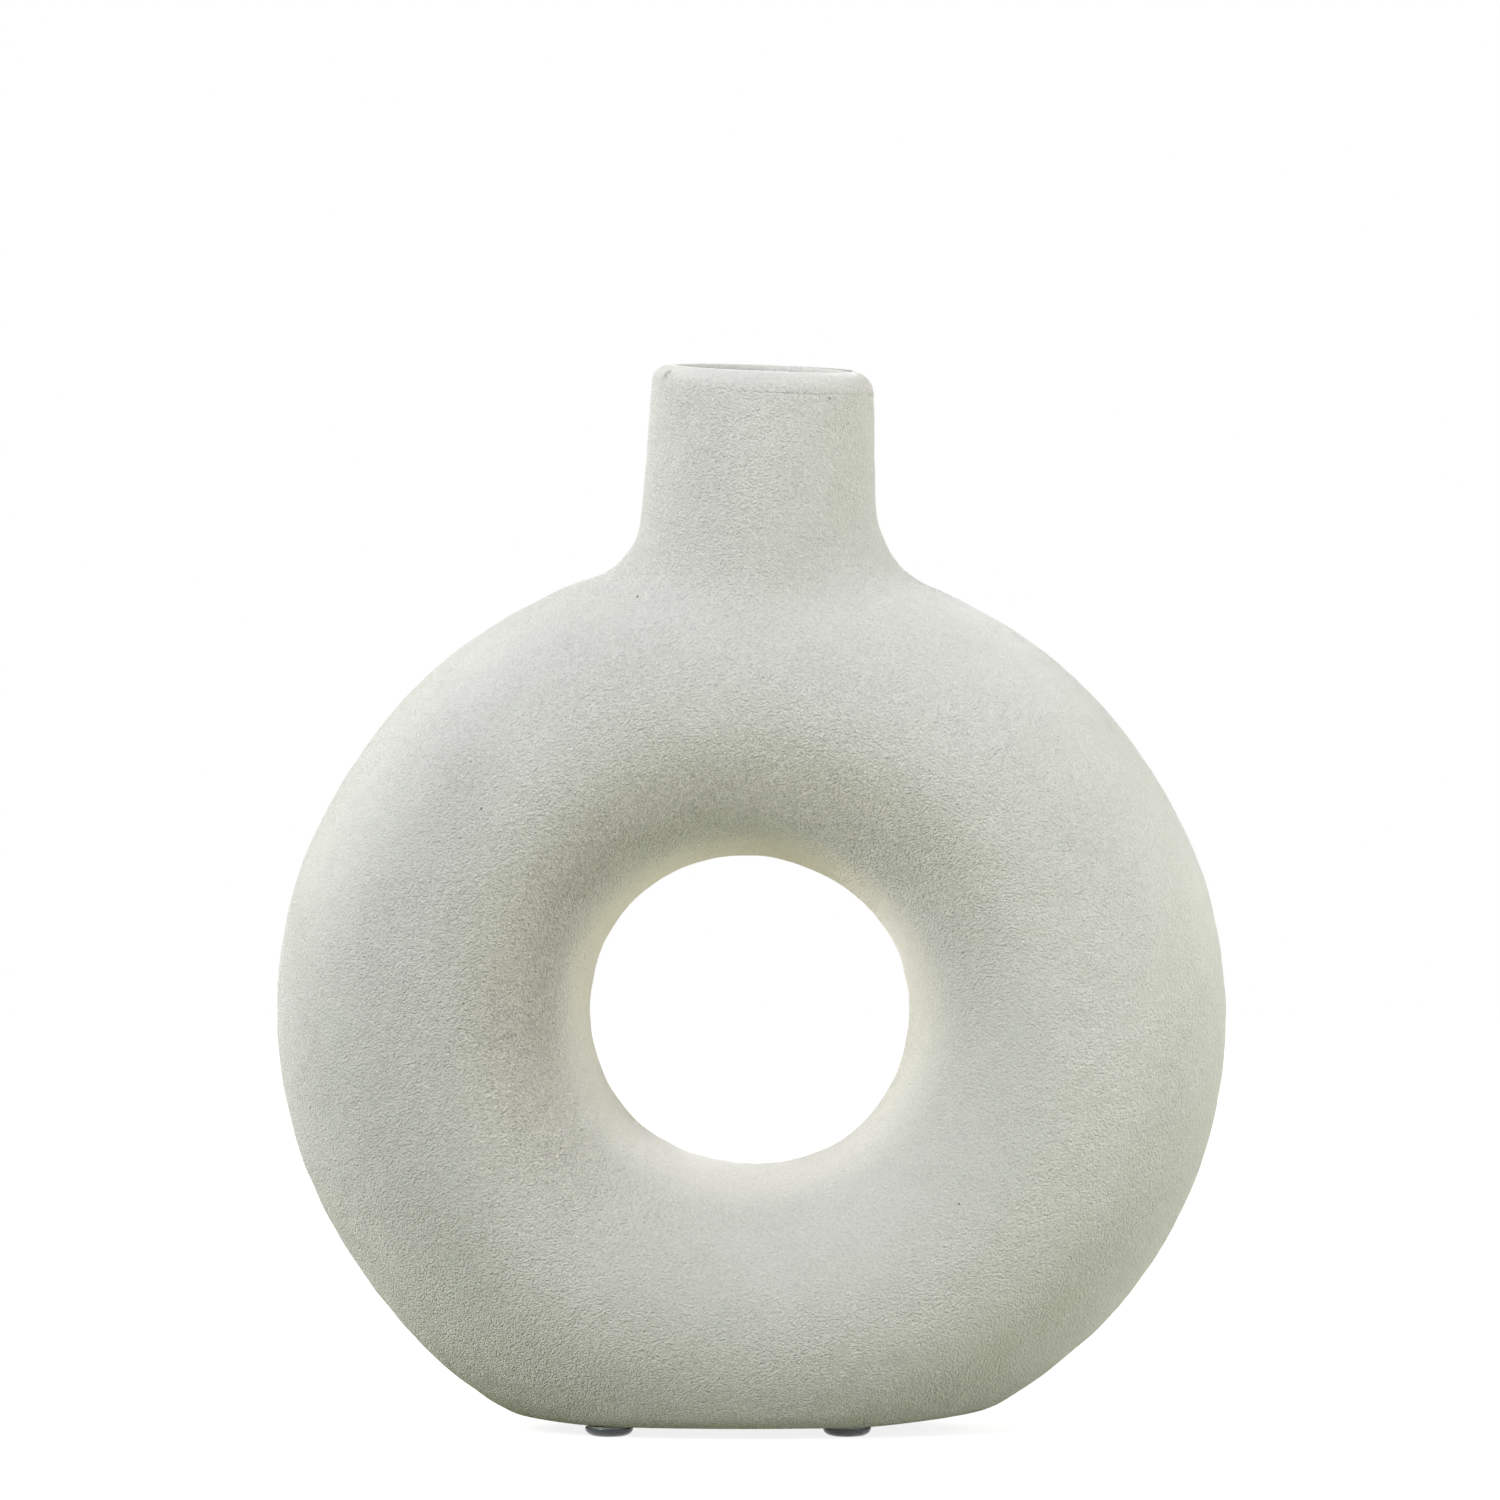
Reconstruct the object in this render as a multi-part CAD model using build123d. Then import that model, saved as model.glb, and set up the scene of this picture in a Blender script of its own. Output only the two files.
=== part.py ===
from build123d import *
import os
from math import sqrt

# Donut vase: a hollow stoneware ring with a short neck, glazed inside, on four clear stick-on pads.
# Millimetres. The origin is on the table under the middle of the ring, +Z is up, -Y is the front.

# Ring: a round tube bent into a circle, which settled a little under its own weight in the kiln.
ring_width = 196.0  # outside of the ring, side to side
ring_height = 190.0  # outside of the whole oval, before the base is cut off it
ring_depth = 66.0  # the tube, front to back
ring_hole_width = 66.0  # the hole through the middle, side to side

# Base: a flat cut across the bottom of the ring, with a soft edge.
base_cut = 10.6  # the flat takes this much off the bottom of the ring
base_edge_radius = 6.0
cavity_floor_radius = 5.0  # the same edge inside, where the slip pooled

# Neck: a round, slightly tapered tube that leans to the right, drawn as a cone from the tube's middle.
neck_height = 38.3  # middle of the rim above the top of the ring
neck_rim_width = 45.7
neck_rim_shift = 2.55  # middle of the rim to the right of the middle of the ring
neck_root_width = 51.8  # width of the same cone at the height of the tube's middle
neck_root_shift = 0.2
neck_blend_radius = 15.0  # hollow curve from the neck to the shoulder
rim_tilt_degrees = 2.1  # the right side is lower

# Wall: one thickness all round, as slip casting leaves it, with a rounded lip.
wall = 5.5
lip_outer_radius = 4.2
lip_inner_radius = 1.1
lip_outer_limit_share = 0.78  # most of the wall that each rounding of the lip may take
lip_inner_limit_share = 0.2
glaze_thickness = 0.4
glaze_line = 2.2  # the inner glaze stops this far below the rim

# Stick-on pads: clear soft domes with a flat foot, each on a film of adhesive.
pad_diameter = 10.0
pad_height = 1.9
pad_dome_radius = 1.6  # rounding of the lower edge
pad_dome_limit_share = 0.9  # most of the pad's height that the rounding may take
adhesive_diameter = 9.2
adhesive_thickness = 0.2

# Places of the pads, as shares of the flat base's half length and half depth.
pad_place_shares = {
    "front_left": (-0.65, -0.58),
    "front_right": (0.44, -0.58),
    "rear_left": (-0.62, 0.57),
    "rear_right": (0.47, 0.59),
}

overrun = 8.0  # cutting solids pass the faces that they cut by this much
top_at_origin = (Align.CENTER, Align.CENTER, Align.MAX)

# Heights and widths that follow from the sizes above.
settled_share = ring_height / ring_width
tube_middle_radius = (ring_width + ring_hole_width) / 4
tube_half_width = (ring_width - ring_hole_width) / 4
base_height = pad_height + adhesive_thickness
base_drop = ring_height / 2 - base_cut
ring_middle_height = base_height + base_drop
neck_root_height = ring_middle_height + tube_middle_radius * settled_share
rim_height = ring_middle_height + ring_height / 2 + neck_height
neck_length = rim_height - neck_root_height

# Half length and half depth of the flat that the base plane cuts from the ring.
base_half_length = ring_width / 2 * sqrt(1 - (base_drop / (ring_height / 2)) ** 2)
base_below_tube_share = (base_drop / settled_share - tube_middle_radius) / tube_half_width
base_half_depth = ring_depth / 2 * sqrt(1 - base_below_tube_share**2)


def rim_plane(drop=0):
    """The tilted plane of the rim, or one parallel to it and lower by drop."""
    return Plane(Location((neck_rim_shift, 0, rim_height), (0, rim_tilt_degrees, 0))).offset(-drop)


def settled_ring(inset):
    """The ring, with its tube thinner by inset all round: an oval turned about Y, then pressed flatter.
    The oval is turned half round, so that the surface's seam lies in the hole, clear of the neck."""
    oval = Ellipse(tube_half_width - inset, ring_depth / 2 - inset, rotation=180)
    turned = revolve(Pos(tube_middle_radius, 0) * oval, Axis.Y)
    return Pos(0, 0, ring_middle_height) * scale(turned, by=(1, 1, settled_share))


def neck_section(height, inset):
    """The neck's round section at a height, read off the straight lines of its leaning cone."""
    way_up = (height - neck_root_height) / neck_length
    middle = neck_root_shift + way_up * (neck_rim_shift - neck_root_shift)
    width = neck_root_width + way_up * (neck_rim_width - neck_root_width)
    return Plane(origin=(middle, 0, height)) * Circle(width / 2 - inset)


def leaning_neck(inset):
    """The neck from the tube's middle to above the rim, thinner by inset all round."""
    low = neck_section(neck_root_height, inset)
    high = neck_section(rim_height + overrun, inset)
    return loft([low, high], ruled=True)


def flat_face(form, highest):
    """The form's highest or lowest flat face."""
    flats = form.faces().filter_by(GeomType.PLANE).sort_by(Axis.Z)
    return flats[-1] if highest else flats[0]


def vase_form(inset, floor_radius, top):
    """Everything inside the vase's outline moved inwards by inset, cut off at the plane top."""
    ring = settled_ring(inset)
    neck = leaning_neck(inset)
    joined = ring + neck
    form = fillet(new_edges(ring, neck, combined=joined), neck_blend_radius + inset)
    floor = Plane(origin=(0, 0, base_height + inset))
    form = split(form, bisect_by=floor, keep=Keep.TOP)
    form = fillet(flat_face(form, highest=False).outer_wire().edges(), floor_radius)
    return split(form, bisect_by=top, keep=Keep.BOTTOM)


def vase_body():
    """The stoneware shell: the outside with a rounded lip, less the cavity, with the mouth's edge eased."""
    outer_radius = min(lip_outer_radius, wall * lip_outer_limit_share)
    inner_radius = min(lip_inner_radius, wall * lip_inner_limit_share)
    outside = vase_form(0, base_edge_radius, rim_plane())
    outside = fillet(flat_face(outside, highest=True).outer_wire().edges(), outer_radius)
    cavity = vase_form(wall, cavity_floor_radius, rim_plane(-overrun / 2))
    shell = outside - cavity
    mouth_edge = flat_face(shell, highest=True).inner_wires()[0].edges()
    return fillet(mouth_edge, inner_radius)


def glaze_lining():
    """The fired glaze that lines the cavity and makes it watertight, up to just below the lip."""
    cavity = vase_form(wall, cavity_floor_radius, rim_plane(glaze_line))
    water_radius = cavity_floor_radius - glaze_thickness
    water = vase_form(wall + glaze_thickness, water_radius, rim_plane(-overrun / 2))
    return cavity - water


def pad():
    """A clear pad: a flat-topped disc with its lower edge rounded into a dome, top face at the origin."""
    disc = Cylinder(pad_diameter / 2, pad_height, align=top_at_origin)
    dome_radius = min(pad_dome_radius, pad_height * pad_dome_limit_share)
    return fillet(disc.edges().sort_by(Axis.Z)[0], dome_radius)


def adhesive_film():
    """The film that sticks a pad to the base, with its top face at the origin."""
    return Cylinder(adhesive_diameter / 2, adhesive_thickness, align=top_at_origin)


def all_pieces():
    """Every piece in its place, by name."""
    pieces = {"vase_body": vase_body(), "glaze_lining": glaze_lining()}
    for place, (along_share, across_share) in pad_place_shares.items():
        x = along_share * base_half_length
        y = across_share * base_half_depth
        pieces[f"{place}_pad_adhesive"] = Pos(x, y, base_height) * adhesive_film()
        pieces[f"{place}_pad"] = Pos(x, y, base_height - adhesive_thickness) * pad()
    return pieces


os.makedirs("parts", exist_ok=True)
for name, piece in all_pieces().items():
    export_step(piece, f"parts/{name}.step")
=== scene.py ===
import math

import bpy
import numpy as np
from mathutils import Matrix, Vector


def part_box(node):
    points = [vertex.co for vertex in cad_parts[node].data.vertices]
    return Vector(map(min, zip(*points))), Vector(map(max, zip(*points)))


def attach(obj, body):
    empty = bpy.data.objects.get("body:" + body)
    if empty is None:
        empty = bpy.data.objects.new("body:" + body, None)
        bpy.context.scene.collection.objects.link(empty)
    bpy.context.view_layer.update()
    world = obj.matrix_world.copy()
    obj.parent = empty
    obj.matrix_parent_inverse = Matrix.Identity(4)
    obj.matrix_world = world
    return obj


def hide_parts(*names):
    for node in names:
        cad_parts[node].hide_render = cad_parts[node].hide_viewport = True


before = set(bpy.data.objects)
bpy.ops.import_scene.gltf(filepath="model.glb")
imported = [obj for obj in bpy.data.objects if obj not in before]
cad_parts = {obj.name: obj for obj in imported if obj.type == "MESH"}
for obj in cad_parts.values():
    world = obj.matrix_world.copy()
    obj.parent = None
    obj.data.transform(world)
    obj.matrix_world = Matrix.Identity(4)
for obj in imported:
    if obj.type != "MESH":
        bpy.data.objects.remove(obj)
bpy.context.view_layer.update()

MM = 0.001  # shapes are worked out in millimetres and written to their meshes in metres

# The vase stands at height 0 with its front towards -y, and x runs to the right

# Sizes read off the frame
body_low, body_high = (np.array(corner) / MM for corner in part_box("vase_body"))
ring_width = body_high[0] - body_low[0]
ring_depth = body_high[1] - body_low[1]
base_height = body_low[2]

# Ring: the middle of its hole, and the oval of its outside and of its hole
ring_middle = 86.5
ring_radius = ring_width / 2
hole_radius = 33.0
settled_share = 0.9694
half_depth = ring_depth / 2

# Swellings that the hands left on the outside and on the hole: how far each stands out, and its
# middle and half width in degrees about the ring's middle, where 0 points right and 90 points up
outside_swellings = (
    (-0.45, 25, 35), (-0.35, 210, 28), (0.3, 112, 28), (0.3, 345, 30), (0.7, 238, 26), (0.6, 325, 34)
)
hole_swellings = ((1.15, 128, 75), (-0.6, 265, 45), (-0.35, 345, 50))

# Neck: a leaning cone from the tube's middle to the rim
rim_height = 219.8
rim_shift = 2.55
rim_radius = 22.85
rim_tilt = math.radians(2.1)
root_height = ring_middle + settled_share * (ring_radius + hole_radius) / 2
root_shift = 0.2
root_radius = 25.9
blend_radius = 15.5
blend_lean = 2.5  # the hollow under the neck is this much wider on the right, and tighter on the left

# Wall, lip and base
wall = 5.5
lip_outer_radius = 4.2
lip_lean = 0.7  # the lip is this much rounder on the right, and crisper on the left
lip_inner_radius = 1.1
base_edge_radius = 7.0
base_edge_lean = 1.0  # the base's edge is this much rounder on the right, and crisper on the left
base_half_length = 35.0  # between its two ends the round of the base's edge changes evenly
base_flat_ends = (-33.0, 25.0)  # the base is flat between these, under the pads
base_end_slopes = (0.075, 0.09)  # and eases up at these slopes towards its left and right ends
base_end_softness = 3.0
floor_edge_radius = 5.0
straight_neck_depth = 27.8  # this far below the rim the neck reaches the hollow under it

# Grids of the ring: points about its middle and about its tube, and the window of cells left open
# under the neck. The cavity has a quarter of the outside's points both ways
outside_grid, outside_window = (440, 168), (44, 56)
cavity_grid, cavity_window = (110, 42), (11, 14)

# Rows of the neck, from the ring up over the lip and down the bore, and depths of the bore's loops
# below the rim, which have all of the neck's points, then half of them, then a quarter
skirt_rows, straight_rows, lip_rows, inner_lip_rows, cavity_skirt_rows = 14, 20, 10, 6, 6
bore_depths, half_bore_depths, quarter_bore_depths = (2.3, 4.0, 6.5), (9.5, 13.0), (17.0, 22.0)

# Unevenness of the skin: height of the waves, the shortest and longest of them, their count, and
# the seed of their directions
hand_waves = (0.1, 30, 80, 40, 11)
slip_waves = (0.05, 7, 16, 60, 12)
short_waves = (0.03, 3.6, 6.5, 90, 13)

# Where the waves fade in: above the base, and below the rim for the hand's and for the slip's
base_fade, hand_fade, slip_fade = (0.2, 5.0), (-4.0, 12.0), (1.5, 6.0)

# Pads: clear domes under films of adhesive
pad_height = 1.9
pad_dome_width = 2.3  # the lower edge curves in by this much
pad_top_edge = 0.25
pad_top_points, pad_side_points, pad_turns = 5, 15, 72

# Marks on the stoneware: pinholes on the front by their places across and up, each a dark dot of
# painted shade, a grey knock on the lip, a speck on the far side of the bore, and a faint trimming
# line under the rim
pinholes = ((-55.2, 130.6), (42.6, 49.4), (16.1, 214.1), (-23.3, 173.4), (-58.9, 90.6))
pinhole_radius = 0.38
knock_place, knock_radius = (-17.8, -10.4, 219.3), 2.0
speck_place, speck_radius = (-11.8, 10.9, 219.6), 0.5
trimming_line_depth, trimming_line_width = 4.4, 0.4

# Camera, lamps and floor, in metres, but the lens and its film in millimetres
camera_distance, camera_elevation = 3.5, math.radians(3.2)
camera_aim = Vector((-0.0002, 0, 0.1408))
lens_length, film_width = 406.6, 36
lamp_aim = Vector((0, 0, 0.11))
even_light = 0.12
sheet_radius, sheet_corners = 1.2, 96


# Studio


def camera_in_front():
    """A long lens a little above the vase's middle, straight in front of it."""
    camera = bpy.data.cameras.new("camera")
    camera.lens, camera.sensor_width = lens_length, film_width
    camera.clip_end = 50
    holder = bpy.data.objects.new("camera", camera)
    way = Vector((0, -math.cos(camera_elevation), math.sin(camera_elevation)))
    holder.location = camera_aim + camera_distance * way
    holder.rotation_euler = (camera_aim - holder.location).to_track_quat("-Z", "Y").to_euler()
    bpy.context.scene.collection.objects.link(holder)
    bpy.context.scene.camera = holder


camera_in_front()


class Finish:
    """A tree of nodes, filled one node at a time."""

    def __init__(self, owner):
        owner.use_nodes = True
        self.owner, self.tree = owner, owner.node_tree
        self.tree.nodes.clear()

    def add(self, kind, sockets=None, **settings):
        """A node with its settings, its sockets filled with values or with other nodes' outputs."""
        made = self.tree.nodes.new("ShaderNode" + kind)
        for name, value in settings.items():
            setattr(made, name, value)
        for name, value in (sockets or {}).items():
            if isinstance(value, bpy.types.NodeSocket):
                self.tree.links.new(value, made.inputs[name])
            else:
                made.inputs[name].default_value = value
        return made

    def reckoned(self, operation, value, *others):
        """The first value put together with each of the others in turn."""
        for other in others:
            value = self.add("Math", {0: value, 1: other}, operation=operation).outputs[0]
        return value

    def times(self, *values):
        return self.reckoned("MULTIPLY", *values)

    def plus(self, *values):
        return self.reckoned("ADD", *values)

    def minus(self, *values):
        return self.reckoned("SUBTRACT", *values)

    def largest(self, *values):
        return self.reckoned("MAXIMUM", *values)

    def eased(self, value, low, high, from_=0.0, to=1.0):
        """The value carried along a smooth step from one range to another."""
        sockets = {0: value, 1: low, 2: high, 3: from_, 4: to}
        return self.add("MapRange", sockets, interpolation_type="SMOOTHSTEP").outputs[0]

    def zone(self, length, low, high, from_=0.0, to=1.0):
        """A smooth step over a length whose two ends are given in millimetres."""
        return self.eased(length, low * MM, high * MM, from_, to)

    def mixed(self, share, first, second):
        return self.add("Mix", {0: share, 6: first, 7: second}, data_type="RGBA").outputs[2]

    def place(self):
        return self.add("TexCoord").outputs["Object"]

    def part(self, vector, axis):
        return self.add("SeparateXYZ", {0: vector}).outputs[axis]

    def vector(self, operation, first, second):
        return self.add("VectorMath", {0: first, 1: second}, operation=operation).outputs[0]

    def along(self, place, way):
        """How far a place lies along a way, both being measured from the same middle."""
        made = self.add("VectorMath", {0: place, 1: way}, operation="DOT_PRODUCT")
        return made.outputs["Value"]

    def length(self, vector):
        return self.add("VectorMath", {0: vector}, operation="LENGTH").outputs["Value"]

    def noise(self, place, scale, detail, roughness=0.5):
        """Smooth chance values about one half, changing `scale` times in a metre."""
        sockets = {"Vector": place, "Scale": scale, "Detail": detail, "Roughness": roughness}
        return self.add("TexNoise", sockets).outputs["Fac"]

    def seen(self):
        """1 for what is seen straight, in a gloss or through something clear, 0 for thrown light."""
        path = self.add("LightPath").outputs
        kinds = ("Is Camera Ray", "Is Glossy Ray", "Is Transmission Ray")
        return self.largest(*(path[kind] for kind in kinds))

    def surface(self, sockets):
        """The finished material, with one shader whose sockets are filled with these."""
        shader = self.add("BsdfPrincipled", sockets)
        self.add("OutputMaterial", {0: shader.outputs[0]})
        return self.owner


def colour(red, green, blue):
    """A colour written in the 0 to 255 steps of a screen."""
    steps = np.array([red, green, blue]) / 255
    linear = np.where(steps <= 0.04045, steps / 12.92, ((steps + 0.055) / 1.055) ** 2.4)
    return (*linear.tolist(), 1.0)


def softbox(name, azimuth, elevation, distance, size, level, tint):
    """A square lamp aimed at the vase's middle. Azimuth 0 is in front and 90 is on the right. At the
    middle a white card turned to it is lit to `level`, so its power is level times pi squared times
    the distance squared."""
    lamp = bpy.data.lights.new(name, "AREA")
    lamp.shape, lamp.size = "SQUARE", size
    lamp.energy = level * math.pi**2 * distance**2
    lamp.color = tint
    holder = bpy.data.objects.new(name, lamp)
    turn, lift = math.radians(azimuth), math.radians(elevation)
    way = Vector((math.sin(turn) * math.cos(lift), -math.cos(turn) * math.cos(lift), math.sin(lift)))
    holder.location = lamp_aim + way * distance
    holder.rotation_euler = (-way).to_track_quat("-Z", "Y").to_euler()
    holder.visible_camera = False
    bpy.context.scene.collection.objects.link(holder)


def studio_light():
    """Large soft lamps behind, above and on both sides, the strongest in front on the left. Four
    small near ones lift the edges and the right side, and a dim even light comes from everywhere.
    The surroundings are seen as white."""
    softbox("back_left_light", -140, 12, 1.6, 1.4, 0.35, (1, 0.97, 0.87))
    softbox("high_back_light", 180, 50, 1.6, 1.4, 0.185, (1, 0.96, 0.9))
    softbox("near_back_left_light", -125, 22, 0.5, 0.3, 0.41, (1, 1, 0.9))
    softbox("near_back_right_light", 125, 20, 0.5, 0.3, 0.3, (1, 0.98, 0.85))
    softbox("top_light", 0, 82, 1.5, 1.4, 0.105, (0.95, 1, 0.99))
    softbox("right_light", 100, 12, 1.5, 1.2, 0.165, (0.86, 0.94, 1))
    softbox("left_light", -75, 30, 1.6, 0.8, 0.145, (0.98, 0.98, 0.94))
    softbox("front_left_light", -45, 28, 1.6, 0.45, 0.67, (0.91, 0.92, 1))
    softbox("near_right_light", 60, 6, 0.45, 0.3, 0.465, (0.98, 0.99, 0.98))
    softbox("near_high_light", 35, 55, 0.45, 0.3, 0.27, (1, 0.91, 0.9))
    world = bpy.data.worlds.new("studio")
    bpy.context.scene.world = world
    sky = Finish(world)
    around = sky.add("Background", {"Color": (1, 1, 1, 1), "Strength": even_light})
    white = sky.add("Background", {"Color": (1, 1, 1, 1), "Strength": 1.0})
    both = sky.add("MixShader", {0: sky.seen(), 1: around.outputs[0], 2: white.outputs[0]})
    sky.add("OutputWorld", {0: both.outputs[0]})


def floor_sheet():
    """A wide round sheet to stand on. It is seen as white and keeps the vase's soft shadow. The light
    that it throws back up is a dim olive in front and nearly white behind."""
    turns = np.arange(sheet_corners) * (2 * np.pi / sheet_corners)
    edge = sheet_radius * np.stack([np.cos(turns), np.sin(turns), 0 * turns], 1)
    mesh = made_mesh("floor", edge / MM, [np.arange(sheet_corners)[None, :]])
    paper = Finish(bpy.data.materials.new("floor_paper"))
    place = paper.place()
    shadowed = paper.add("BsdfDiffuse", {"Color": (0.3, 0.3, 0.3, 1)})
    glow = paper.zone(paper.length(place), 100, 500, 0.85, 1.0)
    bright = paper.add("Emission", {"Color": (1, 1, 1, 1), "Strength": glow})
    white = paper.add("AddShader", {0: shadowed.outputs[0], 1: bright.outputs[0]})
    behind = paper.zone(paper.part(place, "Y"), -30, 200)
    thrown = paper.mixed(behind, colour(170, 174, 140), colour(228, 228, 216))
    lit = paper.add("BsdfDiffuse", {"Color": thrown})
    both = paper.add("MixShader", {0: paper.seen(), 1: lit.outputs[0], 2: white.outputs[0]})
    paper.add("OutputMaterial", {0: both.outputs[0]})
    mesh.materials.append(paper.owner)
    sheet = bpy.data.objects.new("floor", mesh)
    bpy.context.scene.collection.objects.link(sheet)


# The vase's form


def swollen(radius, swellings, turn):
    """The radius at each turn with its swellings. Each is highest at its middle and falls to nothing
    at its half width as a raised cosine."""
    for height, middle, half_width in swellings:
        off = np.abs((turn - math.radians(middle) + np.pi) % (2 * np.pi) - np.pi)
        share = np.clip(off / math.radians(half_width), 0, 1)
        radius = radius + height * ((1 + np.cos(np.pi * share)) / 2)
    return radius


def outline_radii(turn, inset):
    """Radius of the ring's outside and of its hole at each turn about the ring's middle, with the
    small swellings that the hands left outside. The cavity has none."""
    if inset > 0:
        return ring_radius + 0 * turn, hole_radius + 0 * turn
    return swollen(ring_radius, outside_swellings, turn), swollen(hole_radius, hole_swellings, turn)


def ring_gap(points, inset):
    """How far points lie outside the ring's tube, and the way out. Across the tube the section is an
    oval, so the gap is the distance from its middle times one minus one over the oval's measure."""
    x, y, z = points.T
    up = (z - ring_middle) / settled_share
    reach = np.maximum(np.hypot(x, up), 1e-6)
    outside, hole = outline_radii(np.arctan2(up, x), inset)
    half_width = (outside - hole) / 2 - inset
    across = reach - (outside + hole) / 2
    measure = np.maximum(np.hypot(across / half_width, y / (half_depth - inset)), 1e-6)
    gap = np.hypot(across, y) * (1 - 1 / measure)
    out_across, out_deep = across / half_width**2, y / (half_depth - inset) ** 2
    out = np.stack([out_across * x / reach, out_deep, out_across * up / reach / settled_share], 1)
    return gap, out / np.maximum(np.linalg.norm(out, axis=1, keepdims=True), 1e-12)


def neck_circle(height):
    """Middle and radius of the outside of the neck at a height, along the cone's straight sides."""
    way_up = (height - root_height) / (rim_height - root_height)
    middle = root_shift + way_up * (rim_shift - root_shift)
    return middle, root_radius + way_up * (rim_radius - root_radius)


def neck_gap(points, inset):
    """How far points lie outside the neck's cone, and the way out from its leaning axis. Below the
    tube's middle there is no neck, and every point is far from it."""
    x, y, z = points.T
    middle, radius = neck_circle(z)
    reach = np.maximum(np.hypot(x - middle, y), 1e-6)
    taper = (root_radius - rim_radius) / (rim_height - root_height)
    lean = (rim_shift - root_shift) / (rim_height - root_height)
    out = np.stack([(x - middle) / reach, y / reach, taper - lean * (x - middle) / reach], 1)
    length = np.linalg.norm(out, axis=1)
    gap = np.where(z > root_height, (reach - radius + inset) / length, ring_width)
    return gap, out / length[:, None]


def joined(first, second, radius):
    """Union of two forms with the hollow that a ball of this radius leaves rolling along both. The
    ball's middle lies one radius outside each; where the point is between the two touching points,
    the gap is the radius less the distance to that middle."""
    (gap_a, out_a), (gap_b, out_b) = first, second
    cos = (out_a * out_b).sum(1)
    off_a, off_b = gap_a - radius, gap_b - radius
    sine_squared = np.maximum(1 - cos**2, 1e-3)
    along_a = (off_b * cos - off_a) / sine_squared
    along_b = (off_a * cos - off_b) / sine_squared
    to_middle = along_a[:, None] * out_a + along_b[:, None] * out_b
    reach = np.maximum(np.linalg.norm(to_middle, axis=1), 1e-9)
    rolled = (along_a > 0) & (along_b > 0)
    nearer = gap_a < gap_b
    gap = np.where(rolled, radius - reach, np.where(nearer, gap_a, gap_b))
    nearer_out = np.where(nearer[:, None], out_a, out_b)
    return gap, np.where(rolled[:, None], to_middle / reach[:, None], nearer_out)


def flipped(form):
    gap, out = form
    return -gap, -out


def base_lift(x):
    """How far the worn base has left the flat at a place along it. Each end bends up from the flat
    over a few millimetres, as half the sum of the way past the end and the root of its square plus
    a small square."""
    left, right = base_flat_ends[0] - x, x - base_flat_ends[1]
    left_lift = base_end_slopes[0] * (left + np.sqrt(left**2 + base_end_softness**2)) / 2
    right_lift = base_end_slopes[1] * (right + np.sqrt(right**2 + base_end_softness**2)) / 2
    return left_lift + right_lift


def vase_gap(points, inset):
    """How far points lie outside the vase's form moved inwards by inset: ring joined to neck, cut by
    the flat base with a rounded edge."""
    turn = np.arctan2(points[:, 1], points[:, 0])
    blend = blend_radius + inset + blend_lean * np.cos(turn)
    form = joined(ring_gap(points, inset), neck_gap(points, inset), blend)
    below = base_height + inset - points[:, 2]
    down = np.broadcast_to(np.array([0.0, 0.0, -1.0]), points.shape)
    edge = floor_edge_radius
    if inset == 0:
        below = below + base_lift(points[:, 0])
        edge = base_edge_radius + base_edge_lean * np.clip(points[:, 0] / base_half_length, -1, 1)
    return flipped(joined(flipped(form), flipped((below, down)), edge))


def settled_onto(points, inset):
    """Points moved along the way out, step by step, until they lie on the vase's form moved inwards
    by inset. Each step is the gap, or `longest` where the gap is more."""
    steps, longest = 12, 6
    points = points.copy()
    for _ in range(steps):
        gap, out = vase_gap(points, inset)
        points -= out * np.clip(gap, -longest, longest)[:, None]
    return points


# Grids, rows and meshes


def ring_grid(grid, window, inset):
    """The ring as a grid of turns about the ring's middle by turns about the tube, each point settled
    onto the form. A window of cells is left open under the neck, and its edge is given as a loop of
    point numbers that runs once around the neck, clockwise from above."""
    (around, across), (wide, deep) = grid, window
    turns = np.pi / 2 + (np.arange(around) - wide / 2) * (2 * np.pi / around)
    laps = (np.arange(across) - deep / 2) * (2 * np.pi / across)
    turn, lap = np.meshgrid(turns, laps, indexing="ij")
    outside, hole = outline_radii(turn, inset)
    reach = (outside + hole) / 2 + ((outside - hole) / 2 - inset) * np.cos(lap)
    high = ring_middle + settled_share * reach * np.sin(turn)
    points = np.stack([reach * np.cos(turn), (half_depth - inset) * np.sin(lap), high], -1)
    number = np.arange(around * across).reshape(around, across)
    ahead = np.roll(number, -1, 0)
    cells = np.stack([number, np.roll(number, -1, 1), np.roll(ahead, -1, 1), ahead], -1)
    solid = np.ones((around, across), bool)
    solid[:wide, :deep] = False
    front, left = number[:wide, 0], number[wide, :deep]
    back, right = number[wide:0:-1, deep], number[0, deep:0:-1]
    edge = np.concatenate([front, left, back, right])
    return settled_onto(points.reshape(-1, 3), inset), cells[solid], edge


def strip(rows):
    """Quads between each row and the next, all rows being loops of the same count."""
    low, high = np.asarray(rows[:-1]), np.asarray(rows[1:])
    return np.stack([low, high, np.roll(high, -1, 1), np.roll(low, -1, 1)], -1).reshape(-1, 4)


def halving(fine, coarse):
    """Triangles from a loop to the next one, which has half as many points."""
    even, odd, after, ahead = fine[::2], fine[1::2], np.roll(fine[::2], -1), np.roll(coarse, -1)
    corners = [[even, coarse, odd], [odd, coarse, ahead], [odd, ahead, after]]
    return np.concatenate([np.stack(three, 1) for three in corners])


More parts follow.
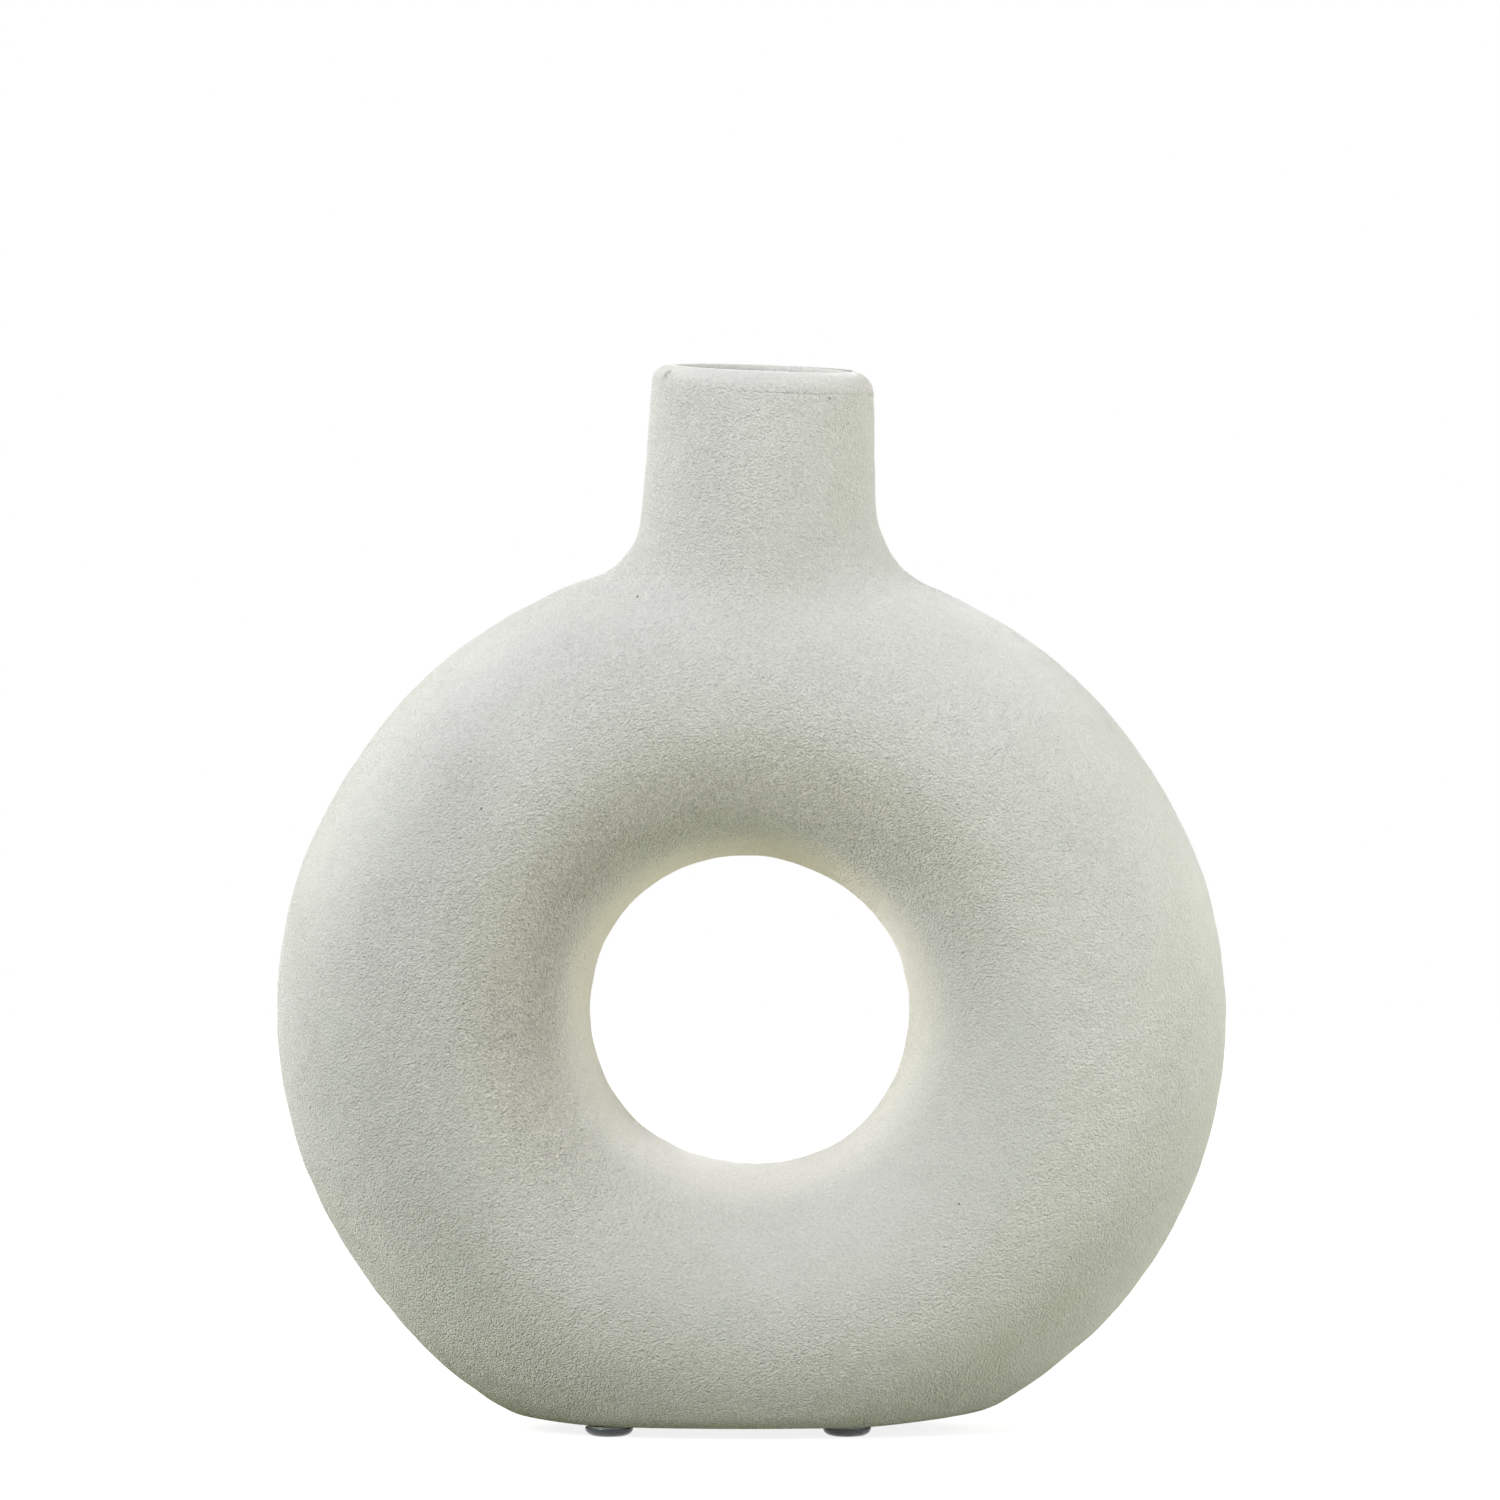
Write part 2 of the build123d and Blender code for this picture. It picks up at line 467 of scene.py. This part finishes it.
def neck_loop(turns, inset, depth):
    """One loop of the neck, `inset` inside its outside and `depth` below the tilted rim. Both may
    change around it. The neck's width and the rim's tilt depend on each other, and three rounds
    bring them together."""
    height = rim_height - depth + 0 * turns
    for _ in range(3):
        middle, radius = neck_circle(height)
        x = middle + (radius - inset) * np.cos(turns)
        height = rim_height - depth - math.tan(rim_tilt) * (x - rim_shift)
    return np.stack([x, (radius - inset) * np.sin(turns), height], 1)


def skirt(edge, top, count, inset):
    """Rows from a window's edge up to a loop of the neck: straight lines between the two, settled
    onto the form."""
    shares = np.linspace(0, 1, count + 2)[1:-1, None, None]
    rows = edge * (1 - shares) + top * shares
    return settled_onto(rows.reshape(-1, 3), inset).reshape(rows.shape)


def even_turns(points):
    """As many evenly spaced turns as the loop has points, starting where they fit it best."""
    middle, _ = neck_circle(points[:, 2])
    turns = np.unwrap(np.arctan2(points[:, 1], points[:, 0] - middle))
    even = -2 * np.pi / len(turns) * np.arange(len(turns))
    return even + np.mean(turns - even)


def made_mesh(name, points, faces):
    """A smooth mesh from points in millimetres and blocks of faces, each block having one number of
    corners. Points that no face uses are left out."""
    every_corner = np.concatenate([block.ravel() for block in faces])
    used, corners = np.unique(every_corner, return_inverse=True)
    sizes = np.concatenate([np.full(len(block), block.shape[1]) for block in faces])
    mesh = bpy.data.meshes.new(name)
    mesh.vertices.add(len(used))
    mesh.vertices.foreach_set("co", (points[used] * MM).ravel())
    mesh.loops.add(len(corners))
    mesh.loops.foreach_set("vertex_index", corners.ravel())
    mesh.polygons.add(len(sizes))
    mesh.polygons.foreach_set("loop_start", np.cumsum(sizes) - sizes)
    mesh.polygons.foreach_set("use_smooth", np.ones(len(sizes), bool))
    mesh.update(calc_edges=True)
    return mesh


def way_out(points, faces):
    """Unit way out at each point: the mean of the faces around it, each counted by its area."""
    out = np.zeros_like(points)
    for block in faces:
        corner = points[block]
        lean = np.cross(corner[:, 2] - corner[:, 0], corner[:, -1] - corner[:, 1])
        for column in range(block.shape[1]):
            np.add.at(out, block[:, column], lean)
    return out / np.maximum(np.linalg.norm(out, axis=1, keepdims=True), 1e-12)


def waves(points, height, shortest, longest, count, seed):
    """Sum of plane waves with random directions, phases and lengths between shortest and longest,
    scaled so that its usual size is the height."""
    chance = np.random.default_rng(seed)
    ways = chance.normal(size=(count, 3))
    ways /= np.linalg.norm(ways, axis=1, keepdims=True)
    lengths = np.exp(chance.uniform(math.log(shortest), math.log(longest), count))
    phases = chance.uniform(0, 2 * np.pi, count)
    total = np.zeros(len(points))
    for way, length, phase in zip(ways, lengths, phases):
        total += np.cos(points @ (way * 2 * np.pi / length) + phase)
    return height * (total * math.sqrt(2 / count))


def ramp(value, low, high):
    """0 below low, 1 above high, and an even S curve between."""
    share = np.clip((value - low) / (high - low), 0, 1)
    return share * share * (3 - 2 * share)


# Vase body: stoneware shell


def outer_neck_rows(edge, turns):
    """Loops from the ring's window up the straight neck and over the lip's outer quarter round."""
    rows = list(skirt(edge, neck_loop(turns, 0, straight_neck_depth), skirt_rows, 0))
    lip_radius = lip_outer_radius + lip_lean * np.cos(turns)
    for way_up in np.linspace(0, 1, straight_rows + 1)[:-1]:
        depth = straight_neck_depth + way_up * (lip_radius - straight_neck_depth)
        rows.append(neck_loop(turns, 0, depth))
    for bend in np.linspace(0, np.pi / 2, lip_rows):
        inset, depth = lip_radius * (1 - math.cos(bend)), lip_radius * (1 - math.sin(bend))
        rows.append(neck_loop(turns, inset, depth))
    return rows


def inner_neck_rows(turns):
    """Loops from the lip's inner quarter round down the first of the bore."""
    rows = []
    for bend in np.linspace(0, np.pi / 2, inner_lip_rows):
        inset = wall - lip_inner_radius * (1 - math.sin(bend))
        rows.append(neck_loop(turns, inset, lip_inner_radius * (1 - math.cos(bend))))
    return rows + [neck_loop(turns, wall, depth) for depth in bore_depths]


def numbered(start, rows):
    """Point numbers of loops that follow each other from a start, and the number after them."""
    count = len(rows[0])
    numbers = [start + np.arange(count) + count * row for row in range(len(rows))]
    return numbers, start + count * len(rows)


def handmade(points, faces, outside_count):
    """Points moved in and out by slow waves, left by the hand, and by short ones, left by the sandy
    slip. Only the outside's points move. They keep still at the base, and less and less is left of
    the waves towards the rim."""
    outside = np.zeros(len(points))
    outside[:outside_count] = 1
    outside *= ramp(points[:, 2], *(base_height + np.array(base_fade)))
    below_rim = rim_height - math.tan(rim_tilt) * (points[:, 0] - rim_shift) - points[:, 2]
    wobble = waves(points, *hand_waves) * ramp(below_rim, *hand_fade)
    lumps = waves(points, *slip_waves) + waves(points, *short_waves)
    move = outside * (wobble + ramp(below_rim, *slip_fade) * lumps)
    return points + way_out(points, faces) * move[:, None]


def vase_shell():
    """The outside as a grid with a skirt up to the neck, the neck in rows, the lip as two quarter
    rounds, and the bore down to a coarser grid for the cavity."""
    outer, outer_faces, edge = ring_grid(outside_grid, outside_window, 0)
    turns = even_turns(outer[edge])
    outer_rows = outer_neck_rows(outer[edge], turns)
    rows = outer_rows + inner_neck_rows(turns)
    half_rows = [neck_loop(turns[::2], wall, depth) for depth in half_bore_depths]
    cavity, cavity_faces, cavity_edge = ring_grid(cavity_grid, cavity_window, wall)
    depths = (*quarter_bore_depths, straight_neck_depth)
    bore_rows = [neck_loop(turns[::4], wall, depth) for depth in depths]
    bore_rows += list(skirt(cavity[cavity_edge], bore_rows[-1], cavity_skirt_rows, wall)[::-1])
    points = np.concatenate([outer, *rows, *half_rows, cavity, *bore_rows])
    numbers, start = numbered(len(outer), rows)
    half_numbers, start = numbered(start, half_rows)
    (cavity_numbers,), start = numbered(start, [cavity])
    bore_numbers, _ = numbered(start, bore_rows)
    faces = [
        outer_faces,
        strip([edge] + numbers),
        halving(numbers[-1], half_numbers[0]),
        strip(half_numbers),
        halving(half_numbers[-1], bore_numbers[0]),
        strip(bore_numbers + [cavity_numbers[cavity_edge]]),
        cavity_numbers[cavity_faces][:, ::-1],
    ]
    outside_count = len(outer) + len(turns) * len(outer_rows)
    return made_mesh("vase_body_shell", handmade(points, faces, outside_count), faces)


# Pads: soft clear domes


def pad_dome(stands_for):
    """A profile turned about the pad's own axis: a flat top with a small rounded edge, a lower edge
    that curves in as a quarter of an oval, and a flat foot on the table."""
    low, high = (np.array(corner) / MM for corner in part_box(stands_for))
    middle, radius = (low + high) / 2, (high[0] - low[0]) / 2
    top = np.linspace(0, np.pi / 2, pad_top_points)
    side = np.linspace(0, np.pi / 2, pad_side_points)[1:]
    reach = radius - pad_top_edge * (1 - np.sin(top))
    height = pad_height - pad_top_edge * (1 - np.cos(top))
    reach = np.concatenate([reach, radius - pad_dome_width * (1 - np.cos(side))])
    height = np.concatenate([height, (pad_height - pad_top_edge) * (1 - np.sin(side))])
    turns = np.arange(pad_turns) * (2 * np.pi / pad_turns)
    across = middle[0] + reach[:, None] * np.cos(turns)
    deep = middle[1] + reach[:, None] * np.sin(turns)
    points = np.stack([across, deep, low[2] + height[:, None] + 0 * across], -1).reshape(-1, 3)
    rows = np.arange(len(points)).reshape(len(reach), pad_turns)
    return made_mesh(stands_for + "_dome", points, [strip(rows), rows[:1], rows[-1:, ::-1]])


def placed(name, mesh, finish, stands_for):
    """Puts a finished mesh in the scene, riding on the vase in place of its CAD node."""
    piece = bpy.data.objects.new(name, mesh)
    bpy.context.scene.collection.objects.link(piece)
    mesh.materials.append(finish)
    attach(piece, "root")
    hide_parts(stands_for)


# Finishes


def spots(finish, place, centres, radius):
    """1 inside each of these spots and 0 outside them. The edge is soft from a third of the radius
    to the whole of it."""
    share = 0.0
    for centre in centres:
        middle = tuple(np.array(centre) * MM)
        away = finish.add("VectorMath", {0: place, 1: middle}, operation="DISTANCE").outputs["Value"]
        share = finish.largest(share, finish.zone(away, radius / 3, radius, 1.0, 0.0))
    return share


def sandy_stoneware():
    """Off-white stoneware with a sandy skin, whose pits carry painted shade. How coarse the sand is
    and how pale the clay is change slowly over the vase, the paleness partly as painted shade and
    painted light. Each such zone is a product of smooth steps along a way across the front, or in
    the reach from the ring's middle, its flattening undone."""
    clay = Finish(bpy.data.materials.new("sandy_stoneware"))
    place = clay.place()
    across = clay.part(place, "X")
    up = clay.along(place, (math.sin(rim_tilt), 0, math.cos(rim_tilt)))
    rim_level = rim_height * math.cos(rim_tilt) + rim_shift * math.sin(rim_tilt)
    from_middle = clay.vector("ADD", place, (0, 0, -ring_middle * MM))
    reach = clay.length(clay.vector("MULTIPLY", from_middle, (1, 0, 1 / settled_share)))

    # Height of the skin: fine slip, pits between the grains of sand, and soft clumps
    slip = clay.noise(place, 1500, 2)
    clumps = clay.noise(place, 600, 1)
    sand = clay.add("TexVoronoi", {"Vector": place, "Scale": 2300}).outputs["Distance"]
    height = clay.minus(clay.times(slip, 0.8), clay.times(sand, 0.6))
    height = clay.plus(height, clay.times(clumps, 0.14))
    middling_height = 0.195

    # Zones: sand gathered over and left of the hole, more of it at the lower left and by the base,
    # plain clay under the hole, also painted darker there as shade, and skin wiped smooth on the
    # ring's upper edge and on the lip
    above_left = clay.zone(clay.along(from_middle, (-0.6, 0, 0.8)), -40, 30)
    gathered = clay.times(above_left, clay.zone(reach, 50, 66, 1.0, 0.0), clay.zone(reach, 36, 45))
    lower_left = clay.zone(clay.along(from_middle, (-0.7, 0, -0.7)), 55, 90, 0.0, 0.5)
    by_base = clay.zone(up, 8, 22, 0.5, 0.0)
    plain_and_shaded = clay.zone(clay.along(from_middle, (0.45, 0, -0.9)), -20, 50)
    plain_and_shaded = clay.times(plain_and_shaded, clay.zone(reach, 56, 76, 1.0, 0.2))
    over_middle = clay.zone(clay.along(from_middle, (0, 0, 1)), 0, 30, 0.0, 0.5)
    wiped = clay.times(clay.zone(reach, 78, 95), over_middle, clay.zone(up, 170, 180, 1.0, 0.0))
    worn = clay.noise(place, 45, 2)
    sandy = clay.plus(gathered, lower_left, by_base, clay.zone(reach, 34, 46, 0.7, 1.15))
    sandy = clay.times(
        sandy,
        clay.minus(1.0, wiped),
        clay.zone(up, rim_level - 3.5, rim_level - 0.2, 1.0, 0.4),
        clay.eased(worn, 0.3, 0.6, 0.72, 0.94),
        clay.minus(1.0, clay.times(plain_and_shaded, 0.48)),
    )

    # Relief, with the trimming line cut into its right half
    off_line = clay.minus(up, (rim_level - trimming_line_depth) * MM)
    off_line = clay.add("Math", {0: off_line}, operation="ABSOLUTE").outputs[0]
    line = clay.zone(off_line, 0, trimming_line_width, 1.0, 0.0)
    line = clay.times(line, clay.zone(across, -4, 4, 0.0, 0.4))
    relief = clay.minus(clay.times(height, sandy), line)
    bump = clay.add("Bump", {"Strength": 1.0, "Distance": 0.6 * MM, "Height": relief})

    # Tone: faint clouds, warmer among the gathered sand, and painted light round the hole: paler, and
    # warmer towards its top, standing in for light bounced inside the hole
    cloud = clay.noise(place, 22, 3, 0.55)
    tone = clay.mixed(clay.eased(cloud, 0.35, 0.65), colour(210, 212, 205), colour(216, 217, 212))
    tone = clay.mixed(clay.times(gathered, 0.6), tone, colour(220, 216, 204))
    # Painted light: paler round the hole and warmer towards its top
    hole_glow = clay.zone(reach, hole_radius + 1, hole_radius + 9, 1.0, 0.0)
    hole_glow = clay.times(hole_glow, clay.zone(across, 15, 35, 1.0, 0.6))
    hole_glow_warmth = clay.zone(up, ring_middle - 25, ring_middle + 30)
    painted_hole_light = clay.mixed(hole_glow_warmth, colour(228, 228, 221), colour(239, 232, 211))
    tone = clay.mixed(hole_glow, tone, painted_hole_light)

    # Shade: chance grains, painted shade in the pits, and painted shade on the left, at the lower
    # right and where the clay is plain
    grains = clay.add("TexVoronoi", {"Vector": place, "Scale": 3000}).outputs["Color"]
    grains = clay.times(clay.minus(clay.part(grains, "X"), 0.5), clay.times(sandy, 0.13))
    # Painted shade: the low parts of the skin darker and the high parts lighter, more so where sand
    # gathers
    painted_pit_shade = clay.minus(height, middling_height)
    painted_pit_shade = clay.times(painted_pit_shade, clay.plus(clay.times(gathered, 0.5), 0.2))
    # Painted shade: darker clay on the left, at the lower right and where it is plain
    painted_shade = clay.times(clay.zone(reach, 55, 66), clay.zone(reach, 76, 88, 1.0, 0.0))
    painted_shade = clay.times(painted_shade, clay.zone(clay.along(from_middle, (-1, 0, 0)), 45, 60))
    lower_right_shade = clay.zone(clay.along(from_middle, (0.7, 0, -0.7)), 76, 88, 0.0, 0.7)
    painted_shade = clay.plus(painted_shade, lower_right_shade, clay.times(plain_and_shaded, 1.15))
    shade = clay.plus(clay.times(sandy, 0.05), 0.885, painted_pit_shade)
    shade = clay.minus(shade, clay.times(wiped, 0.08), clay.times(painted_shade, 0.07))
    shade = clay.plus(grains, shade)
    tone = clay.add("VectorMath", {0: tone, "Scale": shade}, operation="SCALE").outputs[0]

    # Marks: pinholes on the front only, painted dark as the shade in them, the knock on the lip,
    # which leaves some slip, and the speck
    face_on = clay.vector("MULTIPLY", place, (1, 0, 1))
    in_front = clay.zone(clay.part(place, "Y"), -2, 0, 1.0, 0.0)
    # Painted shade: dark dots where the pinholes' hollows would be in shade
    pinhole_shade = spots(clay, face_on, [(right, 0, high) for right, high in pinholes], pinhole_radius)
    tone = clay.mixed(clay.times(pinhole_shade, in_front), tone, colour(120, 118, 106))
    knock = spots(clay, place, [knock_place], knock_radius)
    knock = clay.times(knock, clay.eased(slip, 0.36, 0.5))
    knock = clay.largest(knock, spots(clay, place, [speck_place], speck_radius))
    tone = clay.mixed(knock, tone, colour(128, 128, 124))
    return clay.surface({
        "Base Color": tone,
        "Roughness": clay.eased(slip, 0.3, 0.7, 0.92, 0.74),
        "Normal": bump.outputs[0],
        "Specular IOR Level": 0.5,
        "Sheen Weight": 0.8,
        "Sheen Roughness": 0.4,
    })


def liner_glaze():
    """Glossy warm glaze, a little cloudy and uneven."""
    glaze = Finish(bpy.data.materials.new("liner_glaze"))
    place = glaze.place()
    cloud = glaze.noise(place, 60, 3)
    ripple = glaze.noise(place, 180, 1)
    tone = glaze.mixed(glaze.eased(cloud, 0.3, 0.7), colour(214, 200, 186), colour(222, 214, 204))
    bump = glaze.add("Bump", {"Strength": 0.5, "Distance": 0.3 * MM, "Height": ripple})
    gloss = glaze.eased(cloud, 0.3, 0.7, 0.2, 0.32)
    return glaze.surface({"Base Color": tone, "Roughness": gloss, "Normal": bump.outputs[0]})


def clear_rubber():
    """Clear soft plastic, faintly clouded inside, with painted shade that darkens it towards the
    vase above it.
    """
    clear = Finish(bpy.data.materials.new("clear_pad"))
    place = clear.place()
    cloud = clear.noise(place, 500, 2)
    tone = clear.mixed(clear.eased(cloud, 0.3, 0.7), colour(186, 196, 204), colour(206, 213, 218))
    # Painted shade: darker towards the top, under the vase
    tone = clear.mixed(clear.zone(clear.part(place, "Z"), 0.2, 1.5), tone, colour(84, 92, 98))
    gloss = clear.eased(cloud, 0.3, 0.7, 0.1, 0.2)
    glassy = {"Transmission Weight": 0.6, "IOR": 1.49}
    return clear.surface({"Base Color": tone, "Roughness": gloss, **glassy})


def adhesive():
    """A thin glue film, hazy and slightly yellow."""
    film = Finish(bpy.data.materials.new("adhesive_film"))
    cloud = film.noise(film.place(), 900, 2)
    tone = film.mixed(film.eased(cloud, 0.3, 0.7), colour(186, 186, 172), colour(204, 203, 190))
    gloss = film.eased(cloud, 0.3, 0.7, 0.3, 0.45)
    return film.surface({"Base Color": tone, "Roughness": gloss, "Transmission Weight": 0.3})


def dressed(node, finish):
    """Gives a CAD node, whose shape stays as it is, its finish."""
    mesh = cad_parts[node].data
    mesh.materials.clear()
    mesh.materials.append(finish)


studio_light()
floor_sheet()
placed("vase_body_stoneware", vase_shell(), sandy_stoneware(), "vase_body")
dressed("glaze_lining", liner_glaze())
pad_finish, film_finish = clear_rubber(), adhesive()
for place in ("front_left", "front_right", "rear_left", "rear_right"):
    placed(f"{place}_pad_dome", pad_dome(f"{place}_pad"), pad_finish, f"{place}_pad")
    dressed(f"{place}_pad_adhesive", film_finish)

bpy.context.scene.view_settings.view_transform = "Standard"
